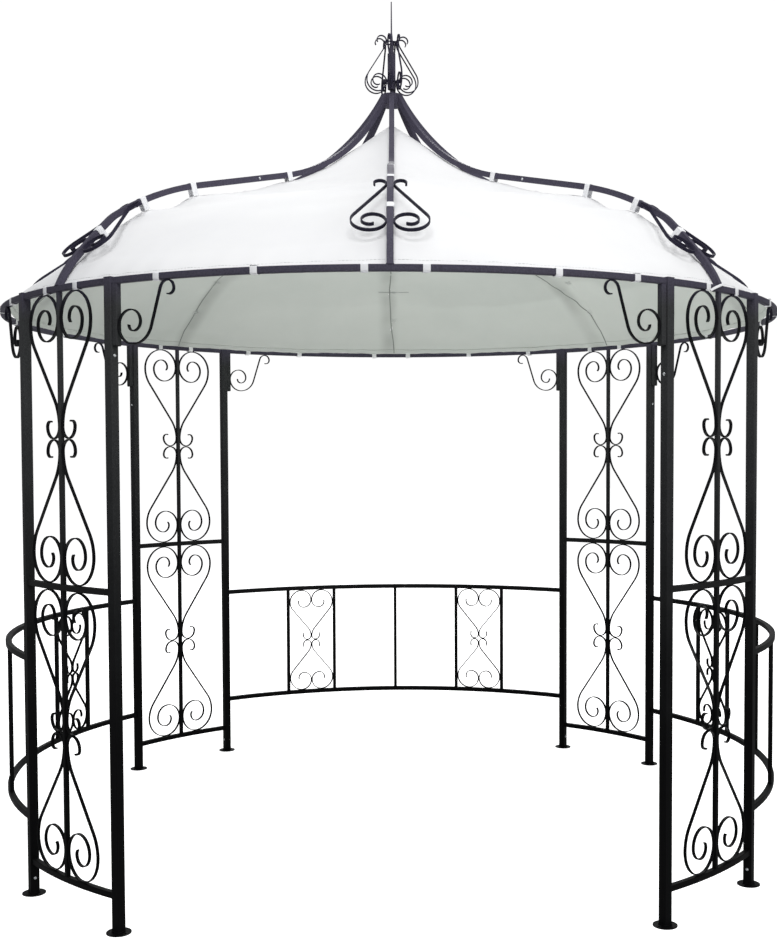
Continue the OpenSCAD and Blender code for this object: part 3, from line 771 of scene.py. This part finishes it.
def make_stitching():
    """Inside the canopy at each strap: a box and cross where the strap is sewn on, and at the
    back rib's second strap a longer row across the seam."""
    boxes, long_row = Shape(), Shape()
    corners = [(-1, -1), (1, -1), (1, 1), (-1, 1)]
    lines = [(corners[i], corners[(i + 1) % 4]) for i in range(4)]
    lines += [(corners[0], corners[2]), (corners[1], corners[3])]
    for azimuth in RIB_AZIMUTHS:
        for distance in RIB_TIES:
            for start, stop in lines:
                stitch_row(boxes, azimuth, distance, start, stop, 6, 0.0005)
    stitch_row(long_row, 180, RIB_TIES[1], (-LONG_ROW, 0), (LONG_ROW, 0), 26, 0.0008)
    return [new_piece("strap_stitching", boxes, [white_thread]),
            new_piece("seam_cross_row", long_row, [stitch_thread])]


stitching = make_stitching()


# ---- Welds, screws and plugs -------------------------------------------------------------------

BEAD = [(math.cos(math.radians(t)), math.sin(math.radians(t))) for t in range(0, 360, 45)]
PAN_HEAD = ((0.0001, -0.001), (0.0037, -0.001), (0.0037, 0.0005), (0.0034, 0.0014),
            (0.0027, 0.0021), (0.0017, 0.0024), (0.0015, 0.0012), (0.0001, 0.0010))
WASHER = ((0.0001, -0.0006), (0.0049, -0.0006), (0.0051, 0.0), (0.0048, 0.0007), (0.0001, 0.0007))
ON_WASHER = 0.0008  # height of the head's seat above the tube


def bead_round(shape, centre, ahead, half, z, size, chance):
    """A weld bead round the foot of a square tube."""
    side = Vector((-ahead.y, ahead.x, 0))
    corners = [centre + ahead * half * sx + side * half * sy
               for sx, sy in ((1, 1), (-1, 1), (-1, -1), (1, -1))]
    places = []
    for i in range(4):
        a, b = corners[i], corners[(i + 1) % 4]
        out = ((a + b) / 2 - centre).normalized()
        for k in range(8):
            f = (k + 0.5) / 8
            wobble = size * (1 + 0.18 * math.sin(k * 2.6 + i) + chance.uniform(-0.08, 0.08))
            places.append((a.lerp(b, f) + Vector((0, 0, z)), out * wobble,
                           Vector((0, 0, 1)) * wobble))
    shape.sweep(places, BEAD, closed=True)


def weld(shape, point, along, out, length, size, chance):
    """A short rippled bead laid along a joint."""
    along, out = along.normalized(), out.normalized()
    side = along.cross(out)
    places, n = [], 11
    for k in range(n):
        f = 2 * k / (n - 1) - 1
        swell = size * math.sqrt(max(1 - 0.97 * f * f, 0.03))
        swell *= 1 + 0.14 * math.sin(5 * math.pi * f + 1) + chance.uniform(-0.06, 0.06)
        places.append((point + along * f * length / 2, side * swell, out * swell * 0.8))
    shape.sweep(places, BEAD)


def make_tube_welds():
    """Beads round the posts' feet, the ribs' feet, the crown, the finial's foot and rail ends."""
    shape, chance = Shape(), random.Random(7)
    for azimuth, _ in POSTS:
        bead_round(shape, around(azimuth, PLAN, 0), around(azimuth, 1, 0), POST / 2, 0.0045, 0.0024,
                   chance)
    ring_top = RING_Z + TUBE / 2
    crown_low, crown_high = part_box("crown")
    for azimuth in RIB_AZIMUTHS:
        bead_round(shape, around(azimuth, PLAN, 0), around(azimuth, 1, 0), TUBE / 2,
                   ring_top + 0.0006, 0.0018, chance)
        out, side = around(azimuth, 1, 0), around(azimuth + 90, 1, 0)
        face = around(azimuth, crown_high.y, (crown_low.z + crown_high.z) / 2)
        for turn in (-1, 1):
            weld(shape, face + side * turn * TUBE / 2, Vector((0, 0, 1)), out + side * turn, 0.034,
                 0.0022, chance)
        weld(shape, face + Vector((0, 0, crown_high.z - face.z - 0.001)), side, out, 0.018, 0.002,
             chance)
    for turn in range(0, 360, 30):
        weld(shape, around(turn, 0.0072, crown_high.z + 0.0005), around(turn + 90, 1, 0),
             Vector((0, 0, 1)) + around(turn, 1, 0), 0.0055, 0.0022, chance)
    # rails and ring against the posts: panels one way round, openings the other
    for number, (azimuth, to_opening) in enumerate(POSTS):
        tangent = around(azimuth + 90, 1, 0)
        ends = [(to_opening, RING_Z, TUBE), (-to_opening, RING_Z, TUBE)]
        ends += [(-to_opening, z, RAIL) for z in PANEL_RAILS]
        if number > 1:
            ends += [(to_opening, z, RAIL) for z in BALUSTRADE_RAILS]
        for way, z, width in ends:
            face = around(azimuth, PLAN, z) + tangent * way * POST / 2
            for out in (Vector((0, 0, -1)), around(azimuth, 1, 0), around(azimuth, -1, 0)):
                along = out.cross(tangent)
                weld(shape, face + out * width / 2, along, out + tangent * way, width * 0.9,
                     0.0016, chance)
    return new_piece("tube_welds", shape, [tube_coat])


def weld_pair(shape, point, along, out, length, chance):
    """Beads in front of and behind the place where a flat bar touches a tube."""
    for face in (1, -1):
        weld(shape, point + out * face * BAR / 2 * 0.9, along, out * face, length, 0.0019, chance)


def make_scroll_welds():
    """Where the scrolls touch the bars, the rails, the ribs and each other."""
    shape, chance = Shape(), random.Random(11)
    up = Vector((0, 0, 1))
    for azimuth in range(45, 360, 90):
        out, side = around(azimuth, 1, 0), around(azimuth + 90, 1, 0)
        middle_bar = around(azimuth, PLAN, 0)
        for low, high in PANEL_SECTIONS:
            centre = (low + high) / 2
            for turn in (-1, 1):
                for way in (-1, 1):
                    loop_side, loop_height = PANEL_LOOP
                    rim = (high - low) / 2 - 0.002
                    for y, z, along in ((UPRIGHT / 2, PANEL_NECK, up),
                                        (UPRIGHT / 2, rim - loop_height, up),
                                        (loop_side, rim + 0.002, side)):
                        point = middle_bar + side * turn * y + up * (centre + way * z)
                        weld_pair(shape, point, along, out, 0.013, chance)
    for quarter in QUARTERS[1:]:
        for bay in BAYS:
            azimuth = quarter + bay
            out, side = around(azimuth, 1, 0), around(azimuth + 90, 1, 0)
            middle_bay = around(azimuth, PLAN * math.cos(math.radians(HALF_BAY)), BAY_MIDDLE)
            for way in (-1, 1):
                for y, z, along in ((0, BAY_NECK, up), (0, BAY_TOUCH, up),
                                    (BAY_LOOP, BAY_RIM, side), (-BAY_LOOP, BAY_RIM, side),
                                    (BAY_SIDE, BAY_BELLY, up), (-BAY_SIDE, BAY_BELLY, up)):
                    point = middle_bay + side * y + up * way * z
                    weld_pair(shape, point, along, out, 0.011, chance)
    for azimuth in RIB_AZIMUTHS:
        side = around(azimuth + 90, 1, 0)
        for distance in HEART_WELDS:
            point, along, out = rib_place(azimuth, distance)
            for turn in (-1, 1):
                for face in (1, -1):
                    weld(shape, point + side * turn * TUBE / 2 + out * face * 0.0045, along,
                         side * turn + out * face, 0.014, 0.0022, chance)
    return new_piece("scroll_welds", shape, [bar_coat])


def add_screw(shape, point, out, ahead):
    """A screw head on its washer, on the face of a tube."""
    at = standing(point, out, ahead)
    shape.turned(at, WASHER)
    shape.turned(at @ Matrix.Translation((0, 0, ON_WASHER)), PAN_HEAD)


def make_screws():
    """Pan-head screws: one above the panel's foot and one under the ring on every post, and one
    through each rib."""
    shape = Shape()
    for number, (azimuth, to_opening) in enumerate(POSTS):
        under_ring = HIGH_RING_SCREW if number == 0 else RING_SCREW
        for way, z in ((to_opening, under_ring), (-to_opening, FOOT_SCREW)):
            out = around(azimuth + 90, way, 0)
            add_screw(shape, around(azimuth, PLAN, z) + out * POST / 2, out, Vector((0, 0, 1)))
    for azimuth in RIB_AZIMUTHS:
        point, along, _ = rib_place(azimuth, RIB_SCREW)
        for way in (-1, 1):
            out = around(azimuth + 90, way, 0)
            add_screw(shape, point + out * TUBE / 2, out, along)
    return new_piece("screws", shape, [screw_zinc])


def make_plugs():
    """A ribbed plug with a domed rim in the open end of each drop tube."""
    shape = Shape()
    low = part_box("arch_front")[0].z
    # (height above the tube's end, share of the tube's width), from inside the tube down
    profile = ((0.004, 0.80), (0.0001, 0.80), (-0.0002, 0.96), (-0.0014, 0.99), (-0.0024, 0.94),
               (-0.0031, 0.78), (-0.0034, 0.40))
    for azimuth, to_opening in POSTS:
        out, side = around(azimuth, 1, 0), around(azimuth + 90, to_opening, 0)
        centre = around(azimuth, PLAN, 0) + side * (POST / 2 + FIT + TUBE / 2)
        shape.sweep([(centre + Vector((0, 0, low + z)), side * k, out * k) for z, k in profile],
                    rounded(TUBE, TUBE, 0.003))
    return new_piece("drop_tube_plugs", shape, [plug_plastic])


make_tube_welds()
make_scroll_welds()
make_screws()
make_plugs()


# ---- Floor, light and camera -------------------------------------------------------------------

def make_stage():
    """A pale floor that meets a white surround. The surround only fills the background: it lights
    nothing and nothing mirrors it."""
    floor_paint, tree = new_material("matt_white_floor_paint")
    place = add(tree, "ShaderNodeTexCoord").outputs["Object"]
    cloud = add(tree, "ShaderNodeTexNoise", {"Vector": place}, {"Scale": 0.6, "Detail": 3.0})
    colour = add(tree, "ShaderNodeMix", {"Factor": cloud.outputs["Fac"]},
                 {"A": linear("#f4f4f4"), "B": linear("#f8f8f8")}, data_type="RGBA")
    surface(tree, add(tree, "ShaderNodeBsdfPrincipled", {"Base Color": colour.outputs["Result"]},
                      {"Roughness": 0.9, "Specular IOR Level": 0.1,
                       "Emission Color": (1, 1, 1, 1), "Emission Strength": 0.84}))
    bpy.ops.mesh.primitive_circle_add(vertices=96, radius=60, fill_type="NGON")
    floor = bpy.context.object
    floor.name = "studio_floor"
    floor.data.materials.append(floor_paint)
    floor.visible_diffuse = False
    floor.visible_glossy = False

    surround_light, tree = new_material("white_studio_surround")
    glow = add(tree, "ShaderNodeEmission", values={"Color": (1, 1, 1, 1), "Strength": 1.02})
    add(tree, "ShaderNodeOutputMaterial", {"Surface": glow.outputs["Emission"]})
    bpy.ops.mesh.primitive_uv_sphere_add(segments=48, ring_count=24, radius=59)
    surround = bpy.context.object
    surround.name = "studio_surround"
    surround.data.materials.append(surround_light)
    for flag in ("diffuse", "glossy", "transmission", "volume_scatter", "shadow"):
        setattr(surround, "visible_" + flag, False)


def make_light(name, place, target, size, power, colour, spread=180):
    data = bpy.data.lights.new(name, "AREA")
    data.shape, data.size, data.energy, data.color = "DISK", size, power, colour
    data.spread = math.radians(spread)
    lamp = bpy.data.objects.new(name, data)
    lamp.location = place
    lamp.rotation_euler = (Vector(target) - Vector(place)).to_track_quat("-Z", "Y").to_euler()
    lamp.visible_camera = False
    bpy.context.scene.collection.objects.link(lamp)


def make_camera():
    data = bpy.data.cameras.new("camera")
    data.sensor_width, data.lens = 36.0, 47.774
    data.shift_x, data.shift_y = -0.04665, 0.0409
    data.clip_start, data.clip_end = 0.1, 200
    camera = bpy.data.objects.new("camera", data)
    camera.location = (0.0221, -5.0571, 1.4625)
    camera.rotation_euler = [math.radians(d) for d in (87.794, 0.183, -1.543)]
    bpy.context.scene.collection.objects.link(camera)
    bpy.context.scene.camera = camera


def light_world(strength):
    world = bpy.data.worlds.new("soft_studio")
    world.use_nodes = True
    back = world.node_tree.nodes["Background"]
    back.inputs["Color"].default_value = linear("#f6f8fa")
    back.inputs["Strength"].default_value = strength
    bpy.context.scene.world = world


make_stage()
light_world(0.32)
make_light("soft_key", (7.7, -9.2, 3.6), (0, 0, 2.4), 6.0, 305, (1.0, 0.995, 0.99))
make_light("soft_front", (0, -7, 9.5), (0, 0, 2.4), 6.0, 530, (0.985, 0.99, 1.0))
make_light("soft_top", (0, 1, 11.5), (0, 0, 2.4), 6.0, 220, (1.0, 1.0, 1.0))
make_light("soft_back", (0, 9, 7.5), (0, 0, 2.4), 6.0, 480, (1.0, 1.0, 1.0))
make_light("floor_bounce", (0.1, 0.1, 0.02), (0.25, 0.1, 2.0), 2.4, 21, (0.985, 1.0, 0.985),
           100)
make_camera()
bpy.context.scene.view_settings.view_transform = "Standard"
